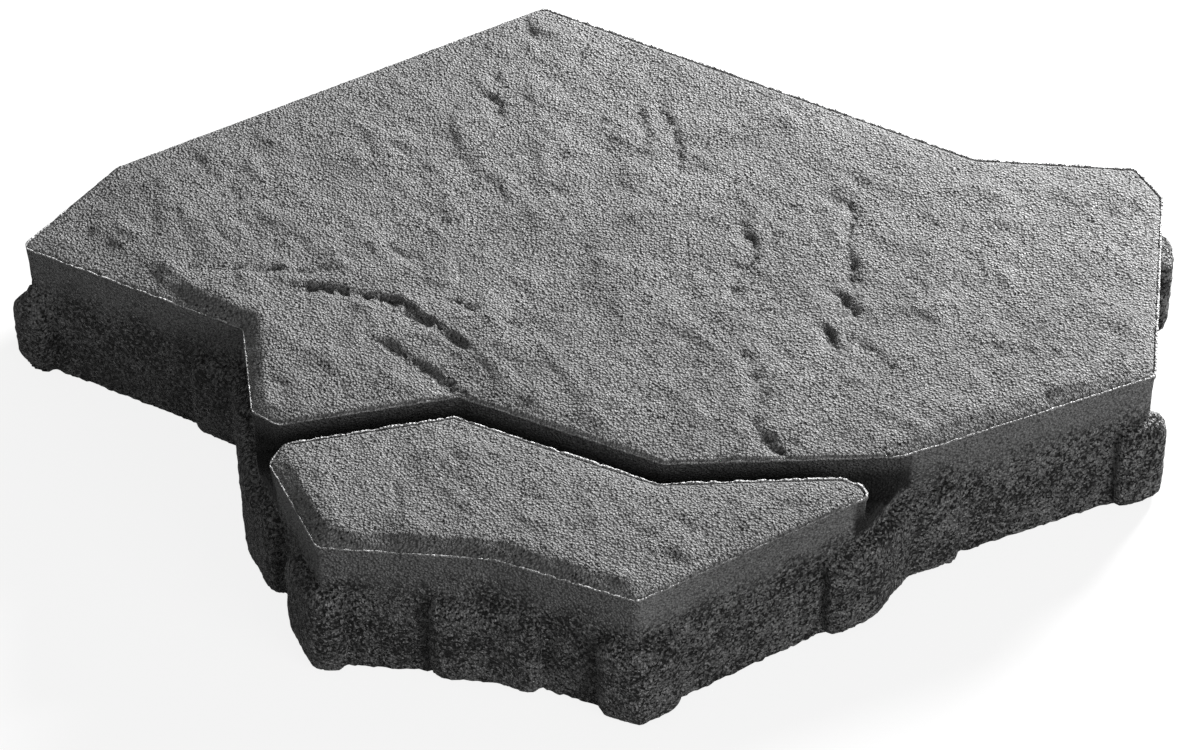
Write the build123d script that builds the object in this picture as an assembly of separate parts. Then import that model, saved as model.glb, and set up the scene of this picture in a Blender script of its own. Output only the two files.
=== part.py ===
from build123d import *

import math
import os

# An irregular concrete paving stone, cast in one piece. Seen from above it is a tile: turned by a third of
# a turn about any of three of its corners, its edge meets the edge of the stone beside it. A false joint
# cut into its top parts it into a large and a small flag, and spacer lugs stand on its corners.

# Driving dimensions, in millimetres and degrees
tile_side_length = 400.0  # between two of the corners about which the tile turns
lay_angle = 15.0  # from the X axis to the line between the two front turning corners
turn_angle = 120.0  # of the tile about each of its turning corners
thickness = 78.0  # from the underside to the level of the flags
joint_width = 13.0  # between two laid stones, and across the false joint
groove_depth = 24.0  # of the false joint, below the level of the flags
groove_floor_round = 6.0
mouth_cut = 11.0  # along both walls, off the flags' corners at the left end of the false joint
flare_run = 20.0  # along the false joint, of the small flag's round end at the right mouth
shoulder_width = 8.0  # of the sloping edge round each flag, in plan
shoulder_drop = 3.5  # from the level of the flags down to the rim
corner_round = 4.0  # of the upright corners
lug_run = 23.0  # of the longest spacer lugs, from the corner along the wall to the round end's middle
lug_height = 48.0
lug_top_round = 5.0
lug_foot_bevel = 3.0
overrun = 2.0  # of a cut past the face that it opens

# The tile's free corners, as shares of the side length, from the front left turning corner. The first share
# runs along the line to the front right turning corner, the second across it.
left_tip_shares = (-0.232, 0.590)
left_shoulder_shares = (-0.079, 0.712)
back_turn_shares = (0.500, 0.866)
right_turn_shares = (1.000, 0.000)
right_notch_shares = (0.681, -0.045)
left_notch_shares = (-0.005, 0.373)
left_knee_shares = (-0.030, 0.199)

# The false joint's far side, from a point outside the left knee by way of two bends to the right notch, in
# the same shares
groove_start_shares = (-0.030, 0.215)
groove_bend_shares = [(0.223, 0.201), (0.415, 0.033)]

# Spacer lugs: each corner's two, back and ahead along the wall, as shares of the lug run
lug_shares = [
    (0.25, 0.15),
    (0.75, 0.75),
    (0.75, 0.75),
    (0.75, 0.75),
    (0.75, 0.50),
    (0.10, 0.45),
    (0.10, 0.50),
    (1.00, 0.50),
    (0.50, 0.75),
    (0.60, 0.50),
    (0.70, 1.00),
    (0.20, 1.00),
    (1.00, 1.60),
    (1.00, 1.00),
]

# Most of a wall's length that the cut or the rounding of one of its ends may take
end_limit_share = 0.85

# How far the middle of the small flag's round end lies from its uncut corner, along both walls
flare_middle_share = 0.4

# Sizes that follow
lug_reach = joint_width / 2
rim_height = thickness - shoulder_drop
groove_floor = thickness - groove_depth
ledge_height = groove_floor + groove_floor_round


def place(shares):
    """Point of the plan at the given shares of the tile's side length."""
    return Vector(*shares).rotate(Axis.Z, lay_angle) * tile_side_length


def turned(point, centre, angle):
    """Point turned about an upright line through the centre."""
    return (point - centre).rotate(Axis.Z, angle) + centre


def tile_corners():
    """The fourteen corners of the tile, clockwise seen from above, from its left tip."""
    left_tip, left_shoulder = place(left_tip_shares), place(left_shoulder_shares)
    back, right, front = place(back_turn_shares), place(right_turn_shares), Vector(0, 0)
    right_notch = place(right_notch_shares)
    left_notch, left_knee = place(left_notch_shares), place(left_knee_shares)
    return [
        left_tip,
        left_shoulder,
        back,
        turned(left_shoulder, back, turn_angle),
        turned(left_tip, back, turn_angle),
        turned(right_notch, right, -turn_angle),
        right,
        right_notch,
        turned(left_tip, front, -turn_angle),
        turned(left_notch, front, -turn_angle),
        turned(left_knee, front, -turn_angle),
        front,
        left_knee,
        left_notch,
    ]


def right_of(start, end):
    """Unit vector to the right of the way from start to end."""
    run = (end - start).normalized()
    return Vector(run.Y, -run.X)


def moved_right(points, distance, closed):
    """The bends of a path moved to the right of the way it runs, each run parallel to itself."""
    before, after = points[0] * 2 - points[1], points[-1] * 2 - points[-2]
    if closed:
        before, after = points[-1], points[0]
    chain = [before, *points, after]
    moved = []
    for back, here, ahead in zip(chain, chain[1:], chain[2:]):
        first, second = right_of(back, here), right_of(here, ahead)
        moved.append(here + (first + second) * (distance / (1 + first.dot(second))))
    return moved


def crossing(first, second, third, fourth):
    """Where the line through the first two points meets the line through the other two."""
    run, other = second - first, fourth - third
    return first + run * ((third - first).cross(other).Z / run.cross(other).Z)


def rounded_face(points):
    """Flat face on the ground plane with rounded corners, rounded less where a wall is short."""
    face = make_face(Polyline(*points, close=True))
    for back, here, ahead in zip(points[-1:] + points, points, points[1:] + points[:1]):
        to_back, to_ahead = back - here, ahead - here
        half_angle = math.radians(to_back.get_angle(to_ahead) / 2)
        room = end_limit_share * min(to_back.length, to_ahead.length) * math.tan(half_angle) / 2
        corner = face.vertices().sort_by_distance(here)[0]
        face = fillet(corner, min(corner_round, room))
    return face


def groove_cut(far_side, near_side):
    """Solid that the false joint takes from the block under the flags, with a rounded floor."""
    band = make_face(Polyline(*near_side, *far_side[::-1], close=True))
    cut = Pos(0, 0, groove_floor) * extrude(band, amount=groove_floor_round + overrun)
    floor_edges = cut.faces().sort_by(Axis.Z)[0].edges().sort_by(SortBy.LENGTH)
    return fillet(floor_edges[2:], groove_floor_round)


def shoulder_wedge(start, end):
    """Solid that slopes a flag's edge down to the rim, with the flag to the right of the way."""
    rise = shoulder_drop + overrun
    top = rim_height + rise
    width = shoulder_width * rise / shoulder_drop
    section = Polygon((-overrun, rim_height), (0, rim_height), (width, top), (-overrun, top), align=None)
    across_wall = Plane(end, x_dir=right_of(start, end), z_dir=start - end)
    return extrude(across_wall * section, amount=(end - start).length)


def shoulder_cuts(corners):
    """Wedges along all of a flag's walls, with mitres that close the gaps between them in inner corners."""
    cuts = []
    for back, here, ahead in zip(corners[-1:] + corners, corners, corners[1:] + corners[:1]):
        cuts.append(shoulder_wedge(here, ahead))
        if right_of(back, here).dot(ahead - here) < 0:
            cuts.append(shoulder_wedge(here, here * 2 - back) & shoulder_wedge(here * 2 - ahead, here))
    return cuts


def flag_block(corners):
    """One flag from the ledge of the false joint up, with its sloping shoulder."""
    block = Pos(0, 0, ledge_height) * extrude(rounded_face(corners), amount=thickness - ledge_height)
    return block - shoulder_cuts(corners)


def lug(corner, neighbour, run_share):
    """Upright rib with rounded ends and top, from a corner along the wall to the next corner."""
    run = (neighbour - corner).normalized() * (lug_run * run_share)
    slot = Plane(corner + run / 2, x_dir=run) * SlotCenterToCenter(run.length, lug_reach * 2)
    rib = extrude(slot, amount=lug_height)
    rib = fillet(rib.faces().sort_by(Axis.Z)[-1].edges(), lug_top_round)
    return chamfer(rib.faces().sort_by(Axis.Z)[0].edges(), lug_foot_bevel)


def lugs(wall):
    """The spacer lugs of all the corners, two at each."""
    ribs = []
    before, after = wall[-1:] + wall[:-1], wall[1:] + wall[:1]
    for back, here, ahead, (back_share, ahead_share) in zip(before, wall, after, lug_shares):
        ribs += [lug(here, back, back_share), lug(here, ahead, ahead_share)]
    return ribs


def mouth_corners(back, corner, ahead):
    """The two corners where a flag's corner at the mouth of the false joint is cut off."""
    legs = [back - corner, ahead - corner]
    return [corner + leg.normalized() * min(mouth_cut, end_limit_share * leg.length) for leg in legs]


def flare_corners(back, corner, ahead):
    """Corners of a round end, from a point on the way to the corner round to the corner ahead."""
    to_back = (back - corner).normalized() * min(flare_run, end_limit_share * (back - corner).length)
    middle = corner + (to_back + ahead - corner) * flare_middle_share
    return [corner + to_back, middle]


def flag_corners(wall, far_side, near_side):
    """Corners of the large and of the small flag, which the false joint parts."""
    right_notch, right_knee = wall[7], wall[8]
    front, left_knee, left_notch = wall[11], wall[12], wall[13]
    far_mouth = crossing(*far_side[:2], left_knee, left_notch)
    near_mouth = crossing(*near_side[:2], front, left_knee)
    right_mouth = crossing(*near_side[-2:], right_notch, right_knee)
    large = [*wall[:8], *far_side[-2:0:-1], *mouth_corners(far_side[1], far_mouth, left_notch), left_notch]
    small = [*wall[8:12], *mouth_corners(front, near_mouth, near_side[1]), *near_side[1:-1]]
    small += flare_corners(near_side[-2], right_mouth, right_knee)
    return [large, small]


def paving_stone():
    """The whole cast stone, its underside on the ground plane and centred there."""
    wall = moved_right(tile_corners(), joint_width / 2, closed=True)
    bends = [place(shares) for shares in groove_bend_shares]
    past_notch = wall[7] + (wall[7] - bends[-1]).normalized() * joint_width
    far_side = [place(groove_start_shares), *bends, past_notch]
    near_side = moved_right(far_side, joint_width, closed=False)
    stone = extrude(rounded_face(wall), amount=ledge_height)
    stone -= groove_cut(far_side, near_side)
    stone += [flag_block(corners) for corners in flag_corners(wall, far_side, near_side)]
    stone += lugs(wall)
    middle = stone.bounding_box().center()
    return Pos(-middle.X, -middle.Y, 0) * stone


os.makedirs("parts", exist_ok=True)
export_step(paving_stone(), "parts/paving_stone.step")
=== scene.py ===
import math

import bmesh
import bpy
from bpy.props import FloatProperty, FloatVectorProperty, IntProperty, PointerProperty
from mathutils import Matrix, Vector
from mathutils.bvhtree import BVHTree


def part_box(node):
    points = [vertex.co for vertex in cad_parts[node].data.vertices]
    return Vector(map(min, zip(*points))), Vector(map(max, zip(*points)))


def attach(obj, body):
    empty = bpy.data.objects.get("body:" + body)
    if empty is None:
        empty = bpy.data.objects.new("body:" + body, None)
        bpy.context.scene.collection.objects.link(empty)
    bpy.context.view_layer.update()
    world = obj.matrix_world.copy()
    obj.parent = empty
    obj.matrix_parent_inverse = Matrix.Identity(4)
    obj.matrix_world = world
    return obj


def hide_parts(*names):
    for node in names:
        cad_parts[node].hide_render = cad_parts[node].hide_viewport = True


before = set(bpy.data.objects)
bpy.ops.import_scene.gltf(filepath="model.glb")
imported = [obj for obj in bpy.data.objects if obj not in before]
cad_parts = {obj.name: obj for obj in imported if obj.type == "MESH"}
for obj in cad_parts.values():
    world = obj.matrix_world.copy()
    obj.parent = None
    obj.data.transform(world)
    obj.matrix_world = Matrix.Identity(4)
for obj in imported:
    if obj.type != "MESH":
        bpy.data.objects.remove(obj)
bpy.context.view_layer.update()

bl_info = {
    "name": "Concrete Paving Stone",
    "version": (1, 0, 0),
    "blender": (4, 5, 0),
    "location": "View3D > Sidebar > Paving Stone",
    "description": "Gives the cast paving stone its cleft top, coarse walls and concrete, and its stage",
    "category": "Object",
}

NODE = "paving_stone"
BODY = "root"
LOW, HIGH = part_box(NODE)

MM = 0.001
IMAGE_WIDTH = 1192
SENSOR_WIDTH = 36.0
FLOOR_HALF = 4.0
WHITE = (1.0, 1.0, 1.0, 1.0)

# How far two corners of the CAD triangles may be apart and still be one
MERGE_DISTANCE = 0.01 * MM
# Faces that lean less than this are walls, and an edge between a wall and a shoulder above this share of
# the height is the rim
WALL_LEAN = 0.2
RIM_SHARE = 0.85
# Level faces between this share of the height and the rim are the floor of the false joint
FLOOR_LEAN = 0.99
FLOOR_SHARE = 0.65
# The grid that the mesh's cells are laid in has two to this power of them along each side
REMESH_DEPTH = 9
# Faces whose corners lie lower than this share of a cell are the underside
UNDER_SHARE = 0.125


def level_direction(degrees):
    """Unit vector along the floor, turned from X."""
    return Vector((math.cos(math.radians(degrees)), math.sin(math.radians(degrees)), 0.0))


# Direction across the clefts towards their steep sides, and how far such a side reaches
STEEP_SIDE = level_direction(58)
STEEP_WIDTH = 2.1 * MM
# A wall that faces away from that direction more than this is on the lee side, unless the other side of the
# false joint lies within this reach
LEE_LIMIT = -0.5
JOINT_REACH = 25 * MM
# Direction towards the walls with the highest fins, and the shares of it from which a fin is low and high
FIN_SIDE = level_direction(30)
FIN_LOW, FIN_HIGH = 0.05, 0.3

# Clefts: waves to a metre and width of their sway, waves of their breaks, and the step between their points
SWAY_WAVES = 190.0
SWAY_WIDTH = 6.0 * MM
BREAK_WAVES = 200.0
CLEFT_STEP = 1.5 * MM

# Top: slant and squeeze of the folds, and how far from the rim the relief and the clefts have their full
# depth
FOLD_SLANT = math.radians(-55)
FOLD_SQUEEZE = 0.55
RELIEF_START = 14.0 * MM
CLEFT_START = 4.0 * MM
# How far from the rim the top is rounded off, and how much more it is beside the high fins
EDGE_REACH = 2.0 * MM
FIN_EDGE_REACH = 4.0 * MM
FIN_EDGE_SHARE = 3.6
# How far to the left the stone's left tip starts and is reached in full
TIP = (170.0 * MM, 240.0 * MM)

# Walls: from where to where below the rim the wall steps in and gets coarse, and the lugs begin and swell
INSET_START = (1.0 * MM, 12.0 * MM)
COARSE_START = (12.0 * MM, 28.0 * MM)
LUG_START = (22.0 * MM, 28.0 * MM)
LUG_FULL = (22.0 * MM, 36.0 * MM)
# From how far out of the rim, in plan, a face belongs to a lug, and from which lean to a wall and not to the
# underside
LUG_GAP = (1.5 * MM, 4.0 * MM)
NOT_UNDER = (-0.9, -0.6)
# Height of the lugs' foot and how far it draws in, and how often the lugs are smoothed
FOOT_HEIGHT = 12.0 * MM
FOOT_TUCK = 1.2 * MM
LUG_SMOOTHING = 4
# How far the left tip's lugs are lowered, and the heights between which this grows
TIP_LOWERING = 5.0 * MM
LOWERING_HEIGHTS = (8.0 * MM, 48.0 * MM)
CHIP_HEIGHT = 5.0 * MM

# Waves or cells to a metre of the relief's patterns
SHOULDER_WAVES = 60.0
SWELL_WAVES = 14.0
FOLD_WAVES = 42.0
PEBBLE_WAVES = 75.0
SCAB_WAVES = 48.0
WALL_WAVES = 300.0
LUG_WAVES = 150.0
WALL_PORES = 200.0
CHIP_WAVES = 240.0
TEAR_WAVES = 260.0
PATCH_WAVES = 26.0
# Step between the fin's sections, and how far below the rim the fin is pale
FIN_STEP = 1.4 * MM
FIN_PALE = 1.2 * MM

# Waves or cells to a metre of the concrete's patterns
SAND_CELLS = 800.0
FINES_WAVES = 900.0
GRIT_WAVES = 480.0
JUMBLE_WAVES = 260.0
STONE_CELLS = 330.0
OPEN_WAVES = 60.0
CRUMB_WAVES = 650.0
PEPPER_WAVES = 70.0
PINHOLE_CELLS = 400.0
CLOUD_WAVES = 18.0
MIX_WAVES = 55.0
# Heights between which the coarse mix gives way to the fine one, and how far that line wanders
MIX_LINE = (46.0 * MM, 66.0 * MM)
MIX_WANDER = 30.0 * MM
# How far the stones are jumbled, how far the clefts' shade is frayed, and the height of the bumps
JUMBLE = 5.0 * MM
FRAY = 6.0 * MM
BUMP_HEIGHT = 1.0 * MM

# Clefts of the top: depth and reach in millimetres, then the places along the line, in millimetres from the
# middle of the stone
CLEFTS = [
    (1.5, 6, [(-190, 13), (-172, 12), (-155, 11), (-132, 9), (-120, 10)]),
    (2.6, 10, [(-137, -1), (-119, -4), (-99, -9), (-89, -13), (-81, -22), (-69, -33), (-62, -41)]),
    (2.0, 14, [(-95, -40), (-85, -51), (-67, -66), (-59, -74)]),
    (1.0, 5, [(-122, 20), (-115, 19)]),
    (1.0, 5, [(-106, 26), (-101, 23)]),
    (1.3, 6, [(-94, 25), (-88, 18), (-83, 18)]),
    (1.5, 7, [(-64, -13), (-57, -18)]),
    (1.6, 6, [(-38, -28), (-35, -30)]),
    (1.5, 8, [(-46, 148), (-45, 142)]),
    (2.0, 9, [(-48, 134), (-45, 127), (-45, 121)]),
    (1.2, 7, [(-21, 67), (-17, 64)]),
    (1.0, 6, [(-85, 93), (-81, 92)]),
    (1.0, 6, [(-66, 89), (-61, 86)]),
    (1.0, 6, [(-59, 71), (-56, 67)]),
    (1.4, 10, [(24, 123), (25, 113), (26, 95)]),
    (1.6, 10, [(34, 128), (39, 109), (42, 93), (43, 78)]),
    (1.9, 8, [(70, 38), (72, 32), (76, 17), (71, 9), (67, -1), (65, -8)]),
    (1.9, 8, [(112, 57), (119, 51), (124, 44), (119, 28), (120, 7), (120, -1)]),
    (2.4, 9, [(113, -9), (116, -17), (119, -24)]),
    (2.4, 9, [(106, -34), (110, -46)]),
    (1.5, 9, [(116, -42), (122, -44), (128, -51), (134, -60)]),
    (1.3, 7, [(68, -52), (72, -56)]),
    (1.7, 9, [(72, -66), (76, -76), (72, -87), (72, -98), (77, -107), (84, -115)]),
    (1.0, 8, [(149, -2), (151, -7)]),
    (1.0, 8, [(171, -1), (172, -7)]),
    (0.9, 10, [(203, -12), (204, -22)]),
    (0.9, 8, [(193, -41), (195, -49)]),
    (0.9, 8, [(202, -73), (204, -83)]),
    (1.2, 5, [(94, 49), (95, 46)]),
    (1.0, 8, [(-146, -63), (-141, -66)]),
    (1.2, 8, [(-192, -1), (-188, -7)]),
    (1.4, 9, [(-32, 194), (-29, 184)]),
    (1.0, 12, [(-89, -130), (-86, -149), (-90, -154), (-94, -161)]),
]


def length(name, description, default):
    """A setting of a length, in metres."""
    return FloatProperty(name=name, description=description, default=default, unit="LENGTH", precision=5)


def angle(name, description, degrees):
    """A setting of an angle, with its default in degrees."""
    return FloatProperty(name=name, description=description, default=math.radians(degrees), unit="ROTATION")


def grey(name, description, share):
    """A setting of a colour, with a grey as its default."""
    return FloatVectorProperty(name=name, description=description, default=(share,) * 3, subtype="COLOR")


class StoneSettings(bpy.types.PropertyGroup):
    """Sizes of the stone's relief."""

    cell: length("Cell", "Edge of the mesh's cells", 1.85 * MM)
    seed: IntProperty(name="Seed", description="Picks the pattern of the relief", default=7)
    joint_half: length("Joint Half", "From the false joint's floor to its walls", 6.0 * MM)
    edge_round: length("Edge Round", "How far the top falls off right at the rim", 0.4 * MM)
    steep_width: length("Steep Width", "Plan width of the shoulder on the lee side", 8.0 * MM)
    gentle_width: length("Gentle Width", "Plan width of the other shoulders", 36.0 * MM)
    swell_depth: length("Swell Depth", "Height of the broad waves of the top", 2.5 * MM)
    fold_depth: length("Fold Depth", "Height of the slanting folds of the top", 1.6 * MM)
    pebble_depth: length("Pebble Depth", "Height of the small bumps of the top", 1.5 * MM)
    scab_depth: length("Scab Depth", "Height of the scabs that stand on the top", 1.0 * MM)
    cleft_share: FloatProperty(
        name="Cleft Share", description="How deep the clefts are cut", default=1.25, subtype="FACTOR"
    )
    wall_inset: length("Wall Inset", "How far the wall lies behind the rim", 0.6 * MM)
    wall_grain: length("Wall Grain", "Height of the open grain of the walls", 0.6 * MM)
    lug_swell: length("Lug Swell", "How far the lugs bulge", 2.0 * MM)
    lug_grain: length("Lug Grain", "Height of the lumps on the lugs", 1.1 * MM)
    chip_depth: length("Chip Depth", "How high the foot of the wall is chipped", 2.2 * MM)
    fin_height: length("Fin Height", "Of the cement fin along the rim", 1.8 * MM)
    fin_thickness: length("Fin Thickness", "Of the cement fin along the rim", 0.85 * MM)


class ConcreteSettings(bpy.types.PropertyGroup):
    """Colours of the concrete."""

    face_colour: grey("Face Mix", "Fine concrete of the top", 0.30)
    wall_colour: grey("Wall Mix", "Coarse concrete of the walls", 0.35)
    fin_colour: grey("Fin", "Pale cement fin along the rim", 0.85)
    # Near-black painted shade for the inside of the pores, pits and clefts
    hollow_shade_colour: grey("Hollow Shade", "Inside of the pores", 0.012)


class StageSettings(bpy.types.PropertyGroup):
    """Camera and light of the stage."""

    aim: FloatVectorProperty(
        name="Aim",
        description="Point in the middle of the view",
        default=(0.0002, -0.0609, 0.0745),
        unit="LENGTH",
    )
    distance: length("Distance", "From aim to camera", 2.08885)
    azimuth: angle("Azimuth", "Turn of the camera to the right", 0.19)
    elevation: angle("Elevation", "Camera above level", 43.28)
    roll: angle("Roll", "Turn about the line of sight", -0.865)
    focal_pixels: FloatProperty(
        name="Focal Length", description="In pixels of the image", default=4605.19, subtype="PIXEL"
    )
    key_azimuth: angle("Key Azimuth", "Of the main lamp, from X", 48)
    key_elevation: angle("Key Elevation", "Of the main lamp", 27)
    key_distance: length("Key Distance", "To the main lamp", 1.2)
    key_size: length("Key Size", "Of the main lamp", 0.35)
    key_power: FloatProperty(name="Key Power", description="Of the main lamp", default=33.0, unit="POWER")
    fill_azimuth: angle("Fill Azimuth", "Of the fill lamp, from X", -50)
    fill_elevation: angle("Fill Elevation", "Of the fill lamp", 17)
    fill_distance: length("Fill Distance", "To the fill lamp", 2.5)
    fill_size: length("Fill Size", "Of the fill lamp", 1.5)
    fill_power: FloatProperty(name="Fill Power", description="Of the fill lamp", default=15.0, unit="POWER")
    room_light: FloatProperty(name="Room Light", description="Strength of the world's light", default=0.12)
    floor_grey: FloatProperty(name="Floor Grey", description="What the floor reflects", default=0.25)
    floor_glow: FloatProperty(name="Floor Glow", description="What the camera sees it add", default=0.86)


class Wire:
    """A socket in a node tree that takes part in Python expressions: each operation adds its node."""

    def __init__(self, tree, socket=None):
        self.tree = tree
        self.socket = socket

    def node(self, kind, settings=None, inputs=None, output=0):
        """Adds a node of any kind: its settings come first, then the values or links of its sockets."""
        made = self.tree.nodes.new(kind)
        for name, value in (settings or {}).items():
            setattr(made, name, value)
        for name, value in (inputs or {}).items():
            if isinstance(value, Wire):
                self.tree.links.new(value.socket, made.inputs[name])
            else:
                made.inputs[name].default_value = value
        return Wire(self.tree, made.outputs[output])

    def beside(self, output):
        """Another output of the node that this socket belongs to."""
        return Wire(self.tree, self.socket.node.outputs[output])

    def is_vector(self):
        """Whether the socket carries a vector."""
        return self.socket.type == "VECTOR"

    def math(self, operation, *values):
        """One Math or Vector Math node on this socket and the values."""
        kind = "ShaderNodeVectorMath" if self.is_vector() else "ShaderNodeMath"
        return self.node(kind, {"operation": operation}, dict(enumerate((self, *values))))

    def __add__(self, other):
        return self.math("ADD", other)

    def __radd__(self, other):
        return self.math("ADD", other)

    def __sub__(self, other):
        return self.math("SUBTRACT", other)

    def __rsub__(self, other):
        return self.node("ShaderNodeMath", {"operation": "SUBTRACT"}, {0: other, 1: self})

    def __mul__(self, other):
        if self.is_vector():
            inputs = {"Vector": self, "Scale": other}
            return self.node("ShaderNodeVectorMath", {"operation": "SCALE"}, inputs)
        return self.math("MULTIPLY", other)

    def __rmul__(self, other):
        return self * other

    def __truediv__(self, other):
        return self.math("DIVIDE", other)

    def __pow__(self, other):
        return self.math("POWER", other)

    def over(self, limit):
        """1 above the limit, and 0 elsewhere."""
        return self.math("GREATER_THAN", limit)

    def least(self, other):
        """The smaller of the two."""
        return self.math("MINIMUM", other)

    def most(self, other):
        """The larger of the two."""
        return self.math("MAXIMUM", other)

    def rise(self, start, end):
        """0 before start, 1 after end, and a smooth step between them."""
        inputs = {"Value": self, 1: start, 2: end}
        return self.node("ShaderNodeMapRange", {"interpolation_type": "SMOOTHSTEP"}, inputs)

    def eased(self):
        """A share from 0 to 1 that slows down towards 1."""
        return self * (2.0 - self)

    def parts(self):
        """The three parts of a vector."""
        apart = self.node("ShaderNodeSeparateXYZ", None, {0: self})
        return [Wire(self.tree, socket) for socket in apart.socket.node.outputs]

    def vector(self, x, y, z):
        """A vector of three parts."""
        return self.node("ShaderNodeCombineXYZ", None, {"X": x, "Y": y, "Z": z})

    def dot(self, other):
        """How far this vector reaches along another."""
        return self.node("ShaderNodeVectorMath", {"operation": "DOT_PRODUCT"}, {0: self, 1: other}, "Value")

    def length(self):
        """Length of this vector."""
        return self.node("ShaderNodeVectorMath", {"operation": "LENGTH"}, {0: self}, "Value")

    def noise(self, scale, detail=2.0, roughness=0.5, seed=None, output="Fac"):
        """Cloud noise at this place, from about 0 to 1, with so many waves to a metre. A seed shifts it."""
        inputs = {"Vector": self, "Scale": scale, "Detail": detail, "Roughness": roughness}
        if seed is None:
            return self.node("ShaderNodeTexNoise", None, inputs, output)
        return self.node("ShaderNodeTexNoise", {"noise_dimensions": "4D"}, {**inputs, "W": seed}, output)

    def waves(self, scale, detail, roughness, seed):
        """Cloud noise about 0, from about -1 to 1."""
        return (self.noise(scale, detail, roughness, seed) - 0.5) * 2.0

    def cells(self, scale):
        """Distance to the middle of the nearest of scattered cells, so many to a metre."""
        return self.node("ShaderNodeTexVoronoi", None, {"Vector": self, "Scale": scale}, "Distance")

    def mixed(self, first, second):
        """Colour between two colours, by this share."""
        return self.node("ShaderNodeMix", {"data_type": "RGBA"}, {0: self, 6: first, 7: second}, 2)

    def shaded(self, colour):
        """The colour times this share."""
        shade = self.vector(self, self, self)
        settings = {"data_type": "RGBA", "blend_type": "MULTIPLY"}
        return self.node("ShaderNodeMix", settings, {0: 1.0, 6: colour, 7: shade}, 2)

    def into(self, kind, socket):
        """Ends the tree in an output node."""
        self.tree.links.new(self.socket, self.tree.nodes.new(kind).inputs[socket])


def merged_copy():
    """The CAD node's triangles, joined at their corners."""
    work = bmesh.new()
    work.from_mesh(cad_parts[NODE].data)
    bmesh.ops.remove_doubles(work, verts=work.verts, dist=MERGE_DISTANCE)
    return work


def line_object(name, points, edges):
    """Helper object of bare edges, which the relief is measured from."""
    mesh = bpy.data.meshes.new(name)
    mesh.from_pydata(points, edges, [])
    helper = bpy.data.objects.new(name, mesh)
    bpy.context.scene.collection.objects.link(helper)
    return helper


def note(helper, name, domain, values):
    """Stores one number for each point or edge of a helper object."""
    helper.data.attributes.new(name, "FLOAT", domain).data.foreach_set("value", values)


def is_rim(edge):
    """Whether an edge lies between an upright wall and a sloping shoulder."""
    if len(edge.link_faces) != 2 or min(vert.co.z for vert in edge.verts) < HIGH.z * RIM_SHARE:
        return False
    leans = sorted(face.normal.z for face in edge.link_faces)
    return abs(leans[0]) < WALL_LEAN < leans[1]


def wall_of(edge):
    """The upright face at a rim edge."""
    return min(edge.link_faces, key=lambda face: abs(face.normal.z))


def is_lee(edge, solid):
    """Whether a rim edge lies on the lee side of the stone, with nothing of the stone across from it."""
    wall = wall_of(edge)
    if wall.normal.dot(STEEP_SIDE) > LEE_LIMIT:
        return False
    start = (edge.verts[0].co + edge.verts[1].co) / 2 + wall.normal * MM - Vector((0, 0, MM))
    return solid.ray_cast(start, wall.normal, JOINT_REACH)[0] is None


def fin_facing(vert):
    """How far the walls at a point of the rim face the side with the highest fins."""
    return max(wall_of(edge).normal.dot(FIN_SIDE) for edge in vert.link_edges if is_rim(edge))


def rim_lines(work):
    """Helper object of the rims of both flags, with the lee side and the side of the high fins noted."""
    solid = BVHTree.FromBMesh(work)
    edges = [edge for edge in work.edges if is_rim(edge)]
    verts = sorted({vert for edge in edges for vert in edge.verts}, key=lambda vert: vert.co[:])
    places = {vert: place for place, vert in enumerate(verts)}
    pairs = [tuple(places[vert] for vert in edge.verts) for edge in edges]
    helper = line_object("rim_lines", [vert.co[:] for vert in verts], pairs)
    note(helper, "lee", "EDGE", [float(is_lee(edge, solid)) for edge in edges])
    note(helper, "facing", "POINT", [fin_facing(vert) for vert in verts])
    return helper


def joint_lines(work, rim_height):
    """Helper object of the floor of the false joint."""
    points, edges = [], []
    for face in work.faces:
        if face.normal.z > FLOOR_LEAN and HIGH.z * FLOOR_SHARE < face.verts[0].co.z < rim_height - MM:
            first, count = len(points), len(face.verts)
            points += [vert.co[:] for vert in face.verts]
            edges += [(first + i, first + (i + 1) % count) for i in range(count)]
    return line_object("joint_lines", points, edges)


def cleft_lines():
    """Helper object of the clefts' lines, with the depth and reach of each."""
    points, edges, depths, reaches = [], [], [], []
    for depth, reach, places in CLEFTS:
        first = len(points)
        points += [(x * MM, y * MM, 0) for x, y in places]
        edges += [(first + i, first + i + 1) for i in range(len(places) - 1)]
        depths += [depth * MM] * len(places)
        reaches += [reach * MM] * len(places)
    helper = line_object("cleft_lines", points, edges)
    note(helper, "depth", "POINT", depths)
    note(helper, "reach", "POINT", reaches)
    return helper


def evaluated_mesh(piece):
    """The piece's mesh with its modifiers applied, as a mesh of its own."""
    graph = bpy.context.evaluated_depsgraph_get()
    return bpy.data.meshes.new_from_object(piece.evaluated_get(graph), depsgraph=graph)


def even_mesh(work, cell):
    """The stone's faces again in even cells, with sharp edges and a plain underside."""
    mesh = bpy.data.meshes.new("stone_cells")
    work.to_mesh(mesh)
    piece = bpy.data.objects.new("stone_cells", mesh)
    bpy.context.scene.collection.objects.link(piece)
    remesh = piece.modifiers.new("cells", "REMESH")
    remesh.mode = "SHARP"
    remesh.octree_depth = REMESH_DEPTH
    remesh.scale = max(HIGH - LOW) / (cell * 2**REMESH_DEPTH)
    remesh.use_remove_disconnected = False
    bpy.context.view_layer.update()
    cells = evaluated_mesh(piece)
    bpy.data.objects.remove(piece)
    plain = bmesh.new()
    plain.from_mesh(cells)
    level = LOW.z + cell * UNDER_SHARE
    under = {face for face in plain.faces if all(vert.co.z < level for vert in face.verts)}
    inner = [face for face in under if all(near in under for vert in face.verts for near in vert.link_faces)]
    bmesh.ops.dissolve_faces(plain, faces=inner, use_verts=False)
    plain.to_mesh(cells)
    plain.free()
    return cells


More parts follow.
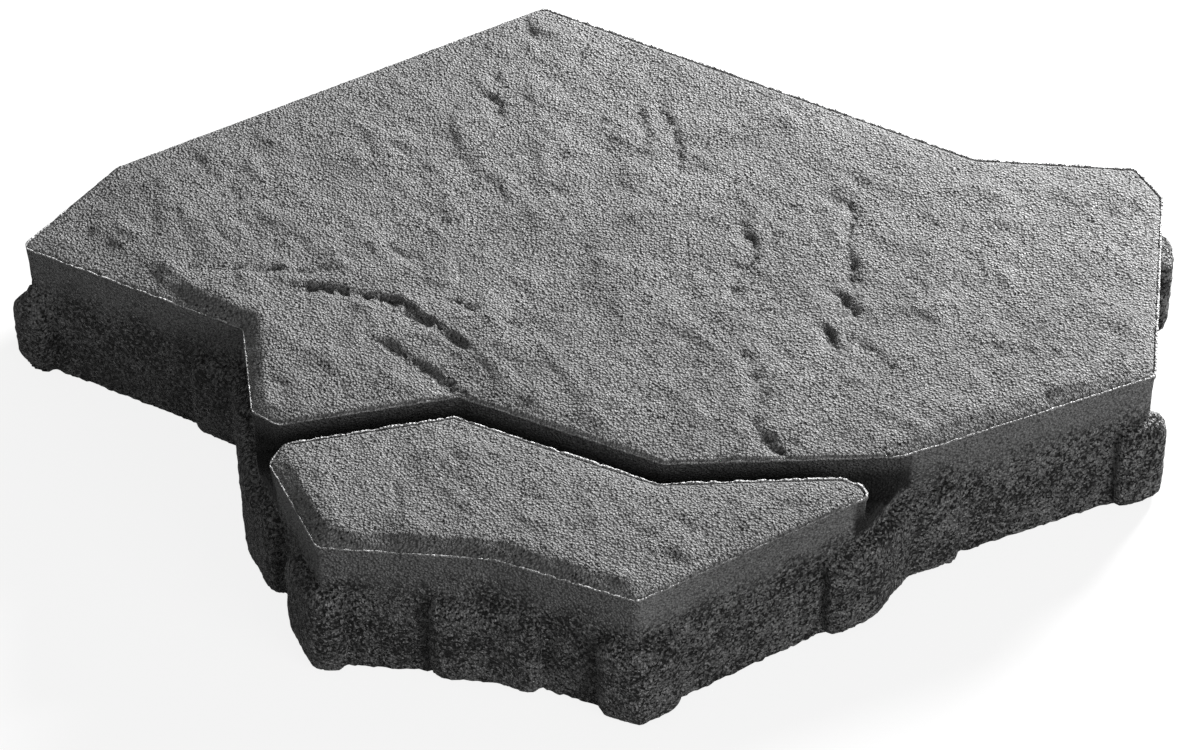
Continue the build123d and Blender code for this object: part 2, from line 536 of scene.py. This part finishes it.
RELIEF_INPUTS = [
    ("Rim", "NodeSocketObject"),
    ("Joint", "NodeSocketObject"),
    ("Clefts", "NodeSocketObject"),
    ("Rim Height", "NodeSocketFloat"),
    ("Floor Height", "NodeSocketFloat"),
    ("Joint Half", "NodeSocketFloat"),
    ("Shoulder Drop", "NodeSocketFloat"),
    ("Edge Round", "NodeSocketFloat"),
    ("Steep Width", "NodeSocketFloat"),
    ("Gentle Width", "NodeSocketFloat"),
    ("Swell Depth", "NodeSocketFloat"),
    ("Fold Depth", "NodeSocketFloat"),
    ("Pebble Depth", "NodeSocketFloat"),
    ("Scab Depth", "NodeSocketFloat"),
    ("Cleft Share", "NodeSocketFloat"),
    ("Wall Inset", "NodeSocketFloat"),
    ("Wall Grain", "NodeSocketFloat"),
    ("Lug Swell", "NodeSocketFloat"),
    ("Lug Grain", "NodeSocketFloat"),
    ("Chip Depth", "NodeSocketFloat"),
    ("Fin Height", "NodeSocketFloat"),
    ("Fin Thickness", "NodeSocketFloat"),
    ("Seed", "NodeSocketFloat"),
    ("Material", "NodeSocketMaterial"),
]


class ReliefTree:
    """Geometry Nodes that lay the relief over the stone and set the fin along its rim."""

    def __init__(self):
        self.tree = bpy.data.node_groups.new("stone_relief", "GeometryNodeTree")
        self.tree.interface.new_socket("Geometry", in_out="INPUT", socket_type="NodeSocketGeometry")
        self.tree.interface.new_socket("Geometry", in_out="OUTPUT", socket_type="NodeSocketGeometry")
        for name, kind in RELIEF_INPUTS:
            self.tree.interface.new_socket(name, in_out="INPUT", socket_type=kind)
        self.start = Wire(self.tree)
        given = self.tree.nodes.new("NodeGroupInput")
        self.take = {socket.name: Wire(self.tree, socket) for socket in given.outputs}
        self.seed = self.take["Seed"]
        self.place = self.start.node("GeometryNodeInputPosition")
        self.x, self.y, self.z = self.place.parts()
        self.rim = self.shape_of("Rim")
        self.gap = self.gap_to(self.rim)
        self.facing = self.named("facing")
        self.below = self.take["Rim Height"] - self.z
        self.on_top = self.z.over(self.take["Rim Height"] - 0.3 * MM)
        self.tip = (self.x * -1.0).rise(*TIP)
        self.end(self.stone(), self.fin())

    def named(self, name):
        """A number noted on the geometry."""
        return self.start.node("GeometryNodeInputNamedAttribute", None, {"Name": name})

    def shape_of(self, name):
        """The mesh of a helper object."""
        inputs = {"Object": self.take[name]}
        return self.start.node("GeometryNodeObjectInfo", {"transform_space": "ORIGINAL"}, inputs, "Geometry")

    def gap_to(self, lines, height="Rim Height"):
        """Distance in plan to lines that lie at the given height."""
        inputs = {"Geometry": lines, "Sample Position": self.place.vector(self.x, self.y, self.take[height])}
        return self.start.node("GeometryNodeProximity", {"target_element": "EDGES"}, inputs, "Distance")

    def rim_where(self, condition, output="Selection"):
        """The edges of the rim for which the condition holds, or with Inverted the others."""
        inputs = {"Geometry": self.rim, "Selection": condition}
        return self.start.node("GeometryNodeSeparateGeometry", {"domain": "EDGE"}, inputs, output)

    def stored(self, shape, values):
        """The shape with numbers for the concrete noted on it."""
        for name, value in values.items():
            inputs = {"Geometry": shape, "Name": name, "Value": value}
            shape = self.start.node("GeometryNodeStoreNamedAttribute", None, inputs)
        return shape

    def cleft(self):
        """How deep the top is cut here, how far the nearest cleft is, and how deep that is."""
        place, seed = self.place, self.seed
        flat = place.vector(self.x, self.y, 0.0)
        sway = flat.noise(SWAY_WAVES, 2.0, 0.5, seed, "Color")
        sway = sway.node("ShaderNodeVectorMath", {"operation": "SUBTRACT"}, {0: sway, 1: (0.5, 0.5, 0.5)})
        bent = (flat + sway * SWAY_WIDTH).math("MULTIPLY", (1.0, 1.0, 0.0))
        line = place.node("GeometryNodeMeshToCurve", None, {"Mesh": self.shape_of("Clefts")})
        inputs = {"Curve": line, "Length": CLEFT_STEP}
        points = place.node("GeometryNodeCurveToPoints", {"mode": "LENGTH"}, inputs)
        index = place.node("GeometryNodeSampleNearest", None, {"Geometry": points, "Sample Position": bent})

        def sampled(value, kind="FLOAT"):
            inputs = {"Geometry": points, "Value": value, "Index": index}
            return place.node("GeometryNodeSampleIndex", {"data_type": kind}, inputs)

        depth, reach = sampled(self.named("depth")), sampled(self.named("reach"))
        away = bent - sampled(place.node("GeometryNodeInputPosition"), "FLOAT_VECTOR")
        distance = away.length()
        steep = (away.dot(STEEP_SIDE[:]) / (distance + 0.2 * MM)).rise(-0.4, 0.4)
        width = reach + (STEEP_WIDTH - reach) * steep
        share = (1.0 - distance / width).most(0.0)
        broken = bent.noise(BREAK_WAVES, 2.0, 0.5, seed + 3.0).rise(0.36, 0.56) * 0.8 + 0.2
        return share ** 1.3 * depth * broken, distance, depth * broken

    def shoulder(self):
        """How high the top lies over the rim: a steep shoulder on the lee side, gentle ones elsewhere."""
        take = self.take
        lee = self.named("lee").over(0.5)
        wander = self.place.waves(SHOULDER_WAVES, 2.0, 0.5, self.seed + 1.0) * 0.35 + 1.0
        steep_width = take["Steep Width"] + (take["Gentle Width"] - take["Steep Width"]) * self.tip
        steep = (self.gap_to(self.rim_where(lee)) * wander / steep_width).least(1.0)
        gentle_gap = self.gap_to(self.rim_where(lee, "Inverted"))
        gentle = (gentle_gap * wander / take["Gentle Width"]).least(1.0)
        fin_gap = self.gap_to(self.rim_where(self.facing.over(FIN_HIGH)))
        edge = (self.gap / EDGE_REACH).least(1.0).eased()
        fin_edge = (fin_gap / FIN_EDGE_REACH).least(1.0).eased()
        rounded = take["Edge Round"] * (edge + fin_edge * FIN_EDGE_SHARE - (1.0 + FIN_EDGE_SHARE))
        return take["Shoulder Drop"] * steep * (gentle.eased() * 0.7 + 0.3) + rounded

    def top_shift(self, cut):
        """How far the top moves up: shoulders, swells, folds, small bumps and scabs, less the clefts' cut."""
        take, place, seed = self.take, self.place, self.seed
        along = self.x * math.cos(FOLD_SLANT) + self.y * math.sin(FOLD_SLANT)
        across = self.y * math.cos(FOLD_SLANT) - self.x * math.sin(FOLD_SLANT)
        slanted = place.vector(along * FOLD_SQUEEZE, across, 0.0)
        swell = place.waves(SWELL_WAVES, 2.0, 0.5, seed) * take["Swell Depth"]
        fold = slanted.waves(FOLD_WAVES, 3.0, 0.6, seed + 5.0) * take["Fold Depth"]
        pebble = place.waves(PEBBLE_WAVES, 4.0, 0.62, seed + 9.0) * take["Pebble Depth"]
        scab = slanted.noise(SCAB_WAVES, 4.0, 0.55, seed + 25.0).rise(0.50, 0.60) * take["Scab Depth"]
        relief = (swell + fold + pebble + scab) * self.gap.rise(0.0, RELIEF_START)
        relief = relief - cut * take["Cleft Share"] * self.gap.rise(0.0, CLEFT_START)
        return (self.below + self.shoulder() + relief) * self.on_top

    def wall_shift(self):
        """How the walls and lugs move: inset walls with open grain, lumpy lugs that bulge, a chipped foot."""
        take, place, z, below, seed = self.take, self.place, self.z, self.below, self.seed
        normal = self.start.node("GeometryNodeInputNormal")
        on_wall = (1.0 - self.on_top) * normal.parts()[2].rise(*NOT_UNDER)
        lug = self.gap.rise(*LUG_GAP) * below.rise(*LUG_START)
        coarse = (below.rise(*COARSE_START) * 0.85 + 0.15) * take["Wall Grain"]
        grain = place.waves(WALL_WAVES, 3.0, 0.6, seed + 11.0) * coarse
        pore = (1.0 - place.cells(WALL_PORES).rise(0.12, 0.42)) * coarse * -1.2
        tuck = (1.0 - z.rise(0.0, FOOT_HEIGHT)) * (1.0 + self.tip * 3.0) * FOOT_TUCK
        bulge = below.rise(*LUG_FULL) * take["Lug Swell"] - tuck
        lump = lug * (bulge + place.waves(LUG_WAVES, 2.0, 0.5, seed + 13.0) * take["Lug Grain"])
        inset = below.rise(*INSET_START) * take["Wall Inset"] * -1.0
        outward = (inset + grain + lump + pore) * on_wall * below.rise(0.5 * MM, 3.0 * MM)
        blur = {"Value": place, "Iterations": LUG_SMOOTHING, "Weight": lug}
        smooth = self.start.node("GeometryNodeBlurAttribute", {"data_type": "FLOAT_VECTOR"}, blur)
        level = (normal * outward + (smooth - place) * lug).math("MULTIPLY", (1.0, 1.0, 0.0))
        chip = (place.noise(CHIP_WAVES, 3.0, 0.6, seed + 17.0) - 0.40).most(0.0) * 4.0 * take["Chip Depth"]
        chip = chip * (1.0 - z.rise(0.0, CHIP_HEIGHT)) * on_wall
        lowered = lug * self.tip * z.rise(*LOWERING_HEIGHTS) * -TIP_LOWERING
        return level + place.vector(0.0, 0.0, chip + lowered)

    def joint(self):
        """1 in the false joint, less near its rim, and 0 elsewhere: the share of painted shade that the
        concrete puts there.
        """
        floor = self.take["Floor Height"]
        gap = self.gap_to(self.shape_of("Joint"), "Floor Height") - self.take["Joint Half"]
        inside = (1.0 - gap.rise(0.3 * MM, 2.0 * MM)) * self.z.rise(floor - 2.0 * MM, floor)
        # Painted shade that grows darker with depth below the rim
        return inside * (self.below.rise(3.0 * MM, 14.0 * MM) * 0.4 + 0.6) * (1.0 - self.on_top)

    def stone(self):
        """The stone with its relief, and the numbers that its concrete reads."""
        cut, cleft_gap, cleft_floor = self.cleft()
        values = {
            "face": self.on_top * self.gap.rise(0.5 * MM, 3.0 * MM),
            # joint carries the painted shade of the false joint
            "joint": self.joint(),
            "fin": 0.0,
            "cleft_gap": cleft_gap,
            "cleft_floor": cleft_floor * self.on_top,
        }
        stone = self.stored(self.take["Geometry"], values)
        shift = self.wall_shift() + self.place.vector(0.0, 0.0, self.top_shift(cut))
        return self.start.node("GeometryNodeSetPosition", None, {"Geometry": stone, "Offset": shift})

    def fin(self):
        """Torn fin of cement that the mould leaves along the rim."""
        start, take, place, seed = self.start, self.take, self.place, self.seed
        fin = start.node("GeometryNodeMeshToCurve", None, {"Mesh": self.rim})
        fin = start.node("GeometryNodeResampleCurve", {"mode": "LENGTH"}, {"Curve": fin, "Length": FIN_STEP})
        fin = start.node("GeometryNodeSetCurveNormal", {"mode": "Z_UP"}, {"Curve": fin})
        torn = place.noise(TEAR_WAVES, 2.0, 0.6, seed + 21.0).rise(0.37, 0.56)
        patch = place.noise(PATCH_WAVES, 1.0, 0.5, seed + 23.0).rise(0.36, 0.48) * 0.35 + 0.65
        high = self.facing.rise(FIN_LOW, FIN_HIGH)
        scale = (torn * 0.4 + 0.6) * patch * (high * 0.8 + 0.7)
        up = (torn * patch * 0.8 - 0.15 + high * 0.2) * MM - take["Fin Height"] * scale * 0.5
        shift = {"Geometry": fin, "Offset": place.vector(0.0, 0.0, up)}
        fin = start.node("GeometryNodeSetPosition", None, shift)
        section = {"Width": take["Fin Thickness"], "Height": take["Fin Height"]}
        section = start.node("GeometryNodeCurvePrimitiveQuadrilateral", {"mode": "RECTANGLE"}, section)
        sweep = {"Curve": fin, "Profile Curve": section, "Scale": scale}
        fin = start.node("GeometryNodeCurveToMesh", None, sweep)
        pale = self.z.rise(take["Rim Height"] - FIN_PALE, take["Rim Height"])
        values = {"face": 0.0, "joint": 0.0, "fin": pale, "cleft_gap": 0.0, "cleft_floor": 0.0}
        return self.stored(fin, values)

    def end(self, stone, fin):
        """Joins the stone and its fin, and ends the tree."""
        joined = self.tree.nodes.new("GeometryNodeJoinGeometry")
        for part in (fin, stone):
            self.tree.links.new(part.socket, joined.inputs[0])
        shape = Wire(self.tree, joined.outputs[0])
        shape = shape.node("GeometryNodeSetShadeSmooth", None, {"Geometry": shape})
        shape = shape.node("GeometryNodeRealizeInstances", None, {"Geometry": shape})
        material = {"Geometry": shape, "Material": self.take["Material"]}
        shape = shape.node("GeometryNodeSetMaterial", None, material)
        shape.into("NodeGroupOutput", 0)


def concrete(colours):
    """Grey concrete: a fine sandy face mix, a coarse open wall mix and a pale fin, with painted shade in the
    pores, pits, clefts and false joint.
    """
    material = bpy.data.materials.new("grey_concrete")
    material.use_nodes = True
    tree = material.node_tree
    shader = tree.nodes["Principled BSDF"]
    shader.inputs["Specular IOR Level"].default_value = 0.25
    start = Wire(tree)
    place = start.node("ShaderNodeTexCoord", None, None, "Object")

    def attribute(name):
        return start.node("ShaderNodeAttribute", {"attribute_name": name}, None, "Fac")

    def plain(colour):
        return (*colour, 1.0)

    face, fin, joint = attribute("face"), attribute("fin"), attribute("joint")
    mix_height = place.parts()[2] + (place.noise(MIX_WAVES, 2.0, 0.6) - 0.5) * MIX_WANDER
    coarse = (1.0 - mix_height.rise(*MIX_LINE)) * (1.0 - face) * (1.0 - fin)

    # Sand grains and the pores between them, which get painted shade
    pores = place.cells(SAND_CELLS)
    grains = pores.beside("Color").parts()[0]
    fines = place.noise(FINES_WAVES, 1.0)
    grit = place.noise(GRIT_WAVES, 2.0, 0.6)

    # Stones of the coarse mix and the open pits between them
    jumbled = place + (place.noise(JUMBLE_WAVES, 1.0, 0.6) - 0.5) * JUMBLE
    gaps = jumbled.cells(STONE_CELLS)
    stones = gaps.beside("Color").parts()[0]
    open_places = place.noise(OPEN_WAVES, 2.0, 0.6).rise(0.36, 0.60) * 0.7 + 0.3
    crumbs = place.noise(CRUMB_WAVES, 1.0) - open_places * 0.1
    pits = (gaps.rise(0.45, 0.75) * open_places * 0.7).most(1.0 - crumbs.rise(0.35, 0.40))
    pits = pits * (coarse * 0.85 + 0.15) * (1.0 - face)

    # Pinholes, in patches, and the clefts; these and the pits get painted shade
    pepper = (place.noise(PEPPER_WAVES, 1.0).rise(0.4, 0.6) * 0.7 + 0.3) * (face * 0.6 + 0.4)
    pinholes = (1.0 - place.cells(PINHOLE_CELLS).rise(0.21, 0.30)) * pepper
    ragged = attribute("cleft_gap") + (grit - 0.5) * FRAY
    cleft = (1.0 - ragged.rise(0.2 * MM, 1.5 * MM)) * attribute("cleft_floor").rise(0.2 * MM, 1.6 * MM)

    # Colour
    body = face.mixed(plain(colours.wall_colour), plain(colours.face_colour))
    body = (fin ** 3.0).mixed(body, plain(colours.fin_colour))
    cloud = place.noise(CLOUD_WAVES, 3.0, 0.55) * 0.5 + 0.75
    bright = grains.rise(0.85, 0.92) * 0.35
    speckle_and_pore_shade = 1.12 + (grains - 0.5) * (0.6 + coarse * 0.9) + (fines - 0.5) * 1.0 + bright
    # Painted shade: the pores between the sand grains are darkened
    speckle_and_pore_shade = (speckle_and_pore_shade - pores.rise(0.45, 0.75) * 0.5).most(0.15)
    # Painted shade: the false joint is darkened by up to nine tenths, most deeply below its rim
    body = (cloud * speckle_and_pore_shade * (1.0 - joint * 0.9)).shaded(body)
    # Painted shade: the pits, pinholes and clefts are darkened towards near black, as if their hollows lay in
    # shadow
    hollow_shade = pits.most(pinholes).most(cleft * 0.65)
    body = hollow_shade.mixed(body, plain(colours.hollow_shade_colour))
    tree.links.new(body.socket, shader.inputs["Base Color"])
    tree.links.new((0.95 - 0.1 * grit).socket, shader.inputs["Roughness"])

    # Bump
    domes = (0.85 - pores).most(0.0) * (grains * 2.0 + 0.3)
    relief = domes * 1.3 + fines * 0.8 + grit * 0.3 + stones * coarse - pits - pinholes
    bump = start.node("ShaderNodeBump", None, {"Strength": 1.0, "Distance": BUMP_HEIGHT, "Height": relief})
    tree.links.new(bump.socket, shader.inputs["Normal"])
    return material


class PAVING_OT_cast_stone(bpy.types.Operator):
    """Cast the paving stone: even cells over its solid, the relief, the fin and the concrete"""

    bl_idname = "paving.cast_stone"
    bl_label = "Cast Stone"

    def execute(self, context):
        sizes = context.scene.paving_stone
        work = merged_copy()
        rim, clefts = rim_lines(work), cleft_lines()
        rim_height = min(vert.co.z for vert in rim.data.vertices)
        joint = joint_lines(work, rim_height)
        cells = even_mesh(work, sizes.cell)
        work.free()
        stone = bpy.data.objects.new("cast_stone", cells)
        context.scene.collection.objects.link(stone)
        values = {
            "Rim": rim,
            "Joint": joint,
            "Clefts": clefts,
            "Rim Height": rim_height,
            "Floor Height": joint.data.vertices[0].co.z,
            "Shoulder Drop": HIGH.z - rim_height,
            "Seed": float(sizes.seed),
            "Material": concrete(context.scene.paving_concrete),
        }
        for name, _ in RELIEF_INPUTS:
            if name not in values:
                values[name] = getattr(sizes, name.lower().replace(" ", "_"))
        relief = stone.modifiers.new("relief", "NODES")
        relief.node_group = ReliefTree().tree
        for socket in relief.node_group.interface.items_tree:
            if socket.name in values:
                relief[socket.identifier] = values[socket.name]
        context.view_layer.update()
        finished = evaluated_mesh(stone)
        stone.modifiers.remove(relief)
        stone.data = finished
        for helper in (rim, joint, clefts):
            bpy.data.objects.remove(helper)
        if not finished.polygons:
            raise RuntimeError("the relief left no faces")
        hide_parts(NODE)
        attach(stone, BODY)
        return {"FINISHED"}


def seen_ray(start):
    """1 for rays that show the background to the camera, also by way of gloss or glass."""
    camera = start.node("ShaderNodeLightPath", None, None, "Is Camera Ray")
    return camera.most(camera.beside("Is Glossy Ray")).most(camera.beside("Is Transmission Ray"))


class PAVING_OT_set_stage(bpy.types.Operator):
    """Set the floor, the lamps and the camera around the stone"""

    bl_idname = "paving.set_stage"
    bl_label = "Set Stage"

    def execute(self, context):
        stage = context.scene.paving_stage
        context.scene.view_settings.view_transform = "Standard"
        self.floor(context, stage)
        self.world(context, stage)
        for name in ("key", "fill"):
            self.lamp(context, stage, name)
        self.camera(context, stage)
        return {"FINISHED"}

    def floor(self, context, stage):
        """Pale floor that shows white to the camera and keeps the stone's shadow."""
        mesh = bpy.data.meshes.new("floor")
        low, high = -FLOOR_HALF, FLOOR_HALF
        mesh.from_pydata([(low, low, 0), (high, low, 0), (high, high, 0), (low, high, 0)], [], [(0, 1, 2, 3)])
        floor = bpy.data.objects.new("floor", mesh)
        context.scene.collection.objects.link(floor)
        material = bpy.data.materials.new("pale_floor")
        material.use_nodes = True
        material.node_tree.nodes.clear()
        start = Wire(material.node_tree)
        plain = start.node("ShaderNodeBsdfDiffuse", None, {"Color": (*(stage.floor_grey,) * 3, 1.0)})
        glow = start.node("ShaderNodeEmission", None, {"Color": WHITE, "Strength": stage.floor_glow})
        shown = start.node("ShaderNodeAddShader", None, {0: plain, 1: glow})
        both = start.node("ShaderNodeMixShader", None, {0: seen_ray(start), 1: plain, 2: shown})
        both.into("ShaderNodeOutputMaterial", "Surface")
        mesh.materials.append(material)

    def world(self, context, stage):
        """White room, which lights the stone only a little."""
        world = bpy.data.worlds.new("room")
        world.use_nodes = True
        context.scene.world = world
        world.node_tree.nodes.clear()
        start = Wire(world.node_tree)
        room = start.node("ShaderNodeBackground", None, {"Color": WHITE, "Strength": stage.room_light})
        white = start.node("ShaderNodeBackground", None, {"Color": WHITE, "Strength": 1.0})
        both = start.node("ShaderNodeMixShader", None, {0: seen_ray(start), 1: room, 2: white})
        both.into("ShaderNodeOutputWorld", "Surface")

    def lamp(self, context, stage, name):
        """Round soft lamp that faces the middle of the stone."""
        azimuth, elevation, distance, size, power = (
            getattr(stage, f"{name}_{part}") for part in ("azimuth", "elevation", "distance", "size", "power")
        )
        level = math.cos(elevation)
        toward = Vector((level * math.cos(azimuth), level * math.sin(azimuth), math.sin(elevation)))
        light = bpy.data.lights.new(f"{name}_lamp", "AREA")
        light.shape = "DISK"
        light.size = size
        light.energy = power
        lamp = bpy.data.objects.new(f"{name}_lamp", light)
        lamp.location = toward * distance
        lamp.rotation_euler = toward.to_track_quat("Z", "Y").to_euler()
        context.scene.collection.objects.link(lamp)

    def camera(self, context, stage):
        """Camera at the photograph's viewing angle."""
        data = bpy.data.cameras.new("camera")
        data.sensor_width = SENSOR_WIDTH
        data.lens = stage.focal_pixels / IMAGE_WIDTH * SENSOR_WIDTH
        level = math.cos(stage.elevation)
        back = Vector((
            level * math.sin(stage.azimuth),
            -level * math.cos(stage.azimuth),
            math.sin(stage.elevation),
        ))
        right = Vector((0, 0, 1)).cross(back).normalized()
        up = back.cross(right)
        turned_right = right * math.cos(stage.roll) + up * math.sin(stage.roll)
        turned_up = up * math.cos(stage.roll) - right * math.sin(stage.roll)
        camera = bpy.data.objects.new("camera", data)
        place = Matrix((turned_right, turned_up, back)).transposed().to_4x4()
        place.translation = Vector(stage.aim) + back * stage.distance
        camera.matrix_world = place
        context.scene.collection.objects.link(camera)
        context.scene.camera = camera


class PAVING_PT_sidebar(bpy.types.Panel):
    """Lists the stone's settings and operators"""

    bl_label = "Paving Stone"
    bl_space_type = "VIEW_3D"
    bl_region_type = "UI"
    bl_category = "Paving Stone"

    def draw(self, context):
        for group, operator in GROUPS:
            settings = getattr(context.scene, group)
            for name in settings.__annotations__:
                self.layout.prop(settings, name)
            if operator:
                self.layout.operator(operator)


GROUPS = [
    ("paving_concrete", None),
    ("paving_stone", PAVING_OT_cast_stone.bl_idname),
    ("paving_stage", PAVING_OT_set_stage.bl_idname),
]
CLASSES = [
    StoneSettings,
    ConcreteSettings,
    StageSettings,
    PAVING_OT_cast_stone,
    PAVING_OT_set_stage,
    PAVING_PT_sidebar,
]


def register():
    for kind in CLASSES:
        bpy.utils.register_class(kind)
    bpy.types.Scene.paving_stone = PointerProperty(type=StoneSettings)
    bpy.types.Scene.paving_concrete = PointerProperty(type=ConcreteSettings)
    bpy.types.Scene.paving_stage = PointerProperty(type=StageSettings)


def unregister():
    del bpy.types.Scene.paving_stage
    del bpy.types.Scene.paving_concrete
    del bpy.types.Scene.paving_stone
    for kind in reversed(CLASSES):
        bpy.utils.unregister_class(kind)


def main():
    register()
    bpy.ops.paving.cast_stone()
    bpy.ops.paving.set_stage()


if __name__ == "__main__":
    main()
